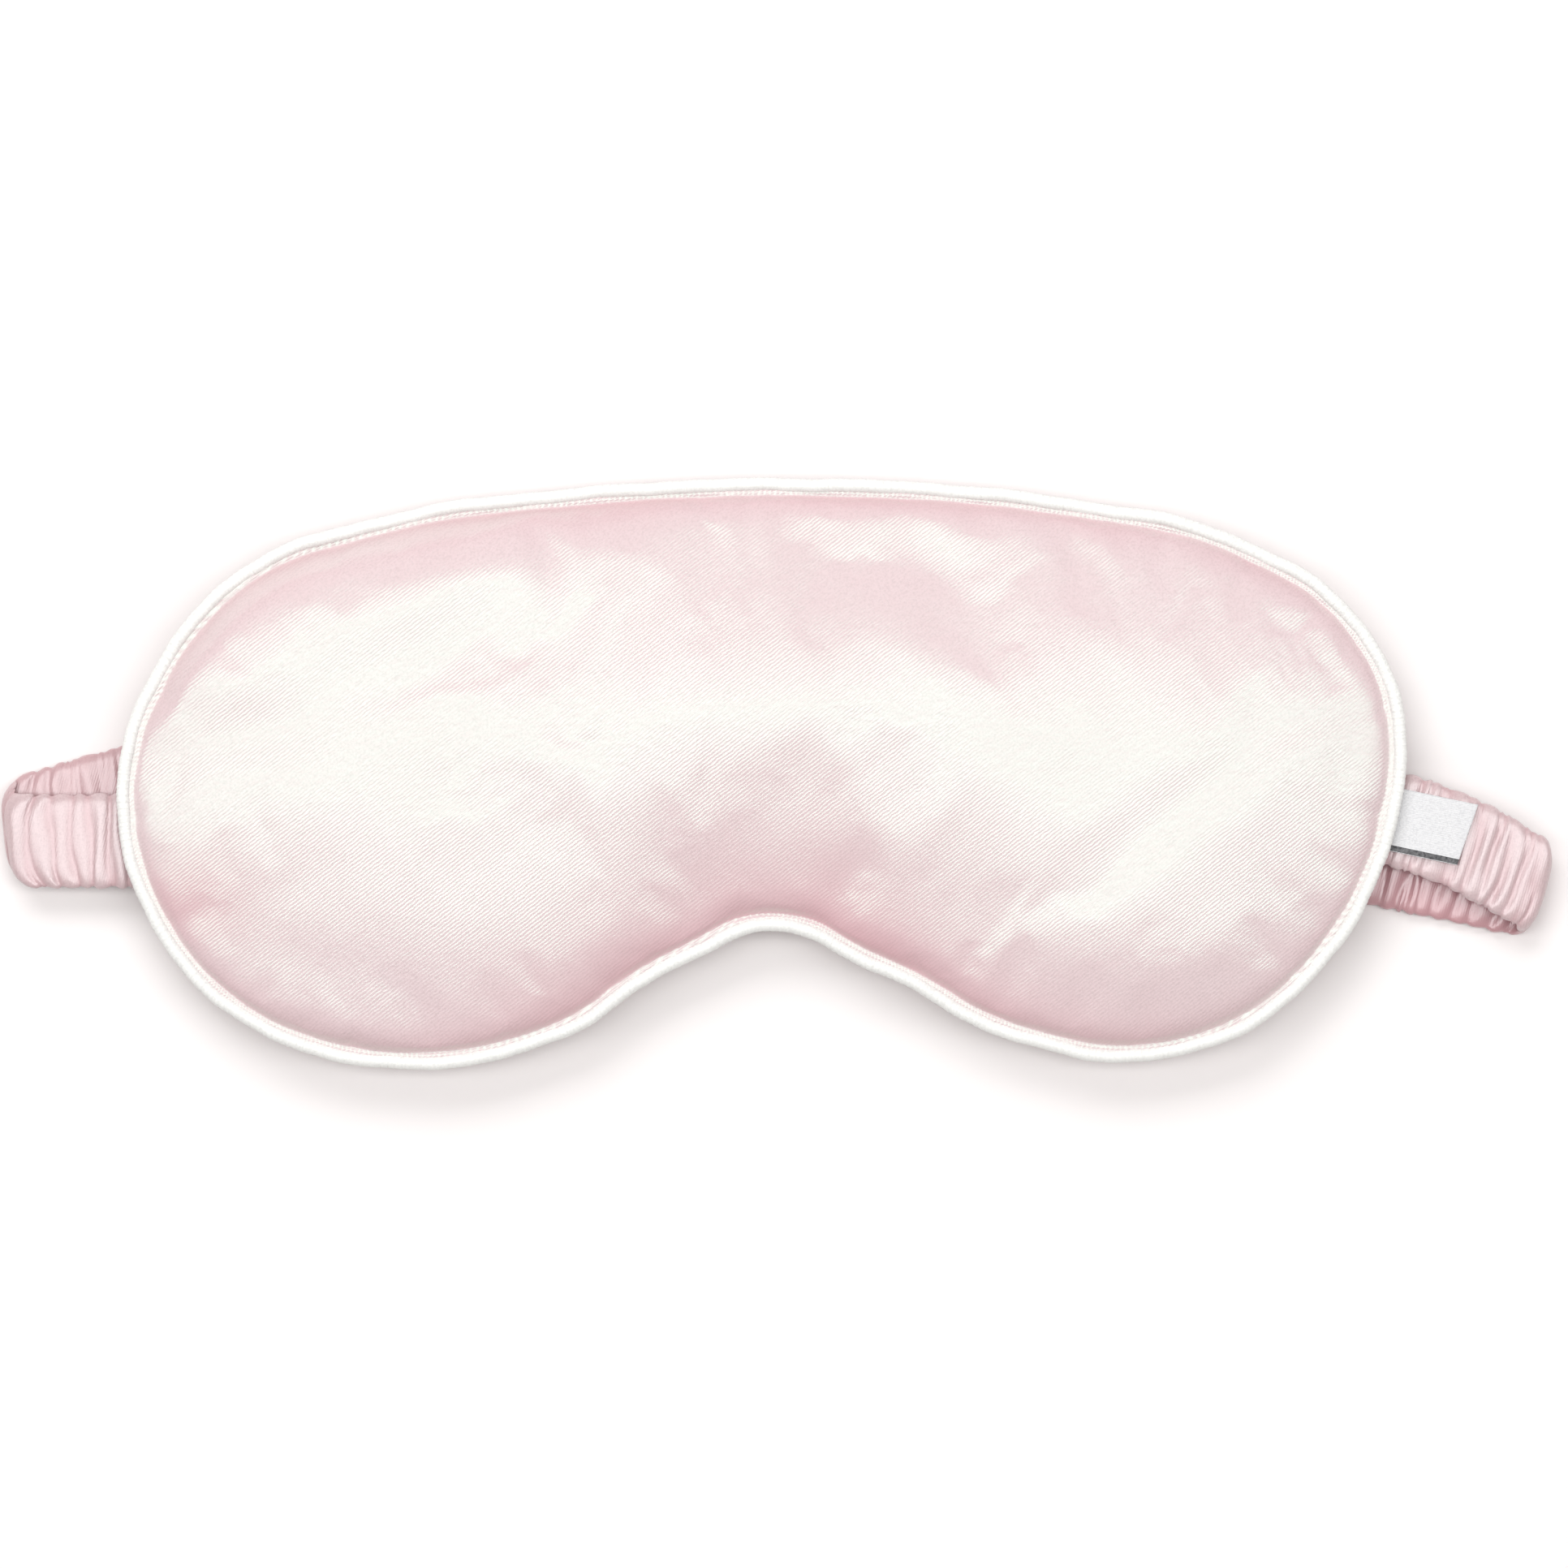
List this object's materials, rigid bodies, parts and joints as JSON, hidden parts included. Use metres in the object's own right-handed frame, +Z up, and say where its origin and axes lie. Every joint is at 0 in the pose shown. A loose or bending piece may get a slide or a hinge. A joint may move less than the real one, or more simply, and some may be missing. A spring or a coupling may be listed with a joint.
{
  "type": "sleep eye mask",
  "caption": "Padded satin sleep mask with a piped edge, a nose notch, a ruched elastic strap folded back under it and a small blank woven label.",
  "frame": {"origin": "middle of the footprint, on the surface the mask lies on", "axes": "+Z up out of the mask's front, +X along the mask towards the label, +Y towards the wearer's forehead"},
  "size_m": [0.2634, 0.101, 0.0156],
  "materials": {
    "satin_pink": "glossy satin weave",
    "satin_strap": "glossy satin weave, gathered",
    "satin_white": "glossy satin, cut on the bias",
    "wadding_white": "soft non-woven",
    "lining_black": "plain dense weave",
    "cord_white": "twisted cotton",
    "thread_white": "polyester thread",
    "thread_pink": "polyester thread",
    "elastic_white": "woven elastic",
    "label_white": "damask woven label"
  },
  "bodies": {
    "strap": {"strap_casing": "satin_strap", "strap_elastic": "elastic_white", "casing_seam_thread": "thread_pink"},
    "mask": {"back_cover": "satin_pink", "front_cover": "satin_pink", "front_wadding": "wadding_white", "blackout_lining": "lining_black", "back_wadding": "wadding_white", "piping_cover": "satin_white", "piping_cord": "cord_white", "perimeter_stitching": "thread_white", "left_strap_tack": "thread_pink", "right_strap_tack": "thread_pink"},
    "label": {"label": "label_white"}
  },
  "joints": [
    {"name": "strap_stretch", "type": "slide", "parent": "strap", "child": "mask", "axis": [0, 0, 1], "range_m": [0, 0.11], "stiffness_N_per_m": 18, "deforming": ["strap_casing", "strap_elastic", "casing_seam_thread"]},
    {"name": "label_flap", "type": "hinge", "parent": "mask", "child": "label", "pos_m": [0.10679, -0.0081, 0.0064], "axis": [-0.2079, -0.9781, 0], "range_deg": [0, 105]}
  ]
}
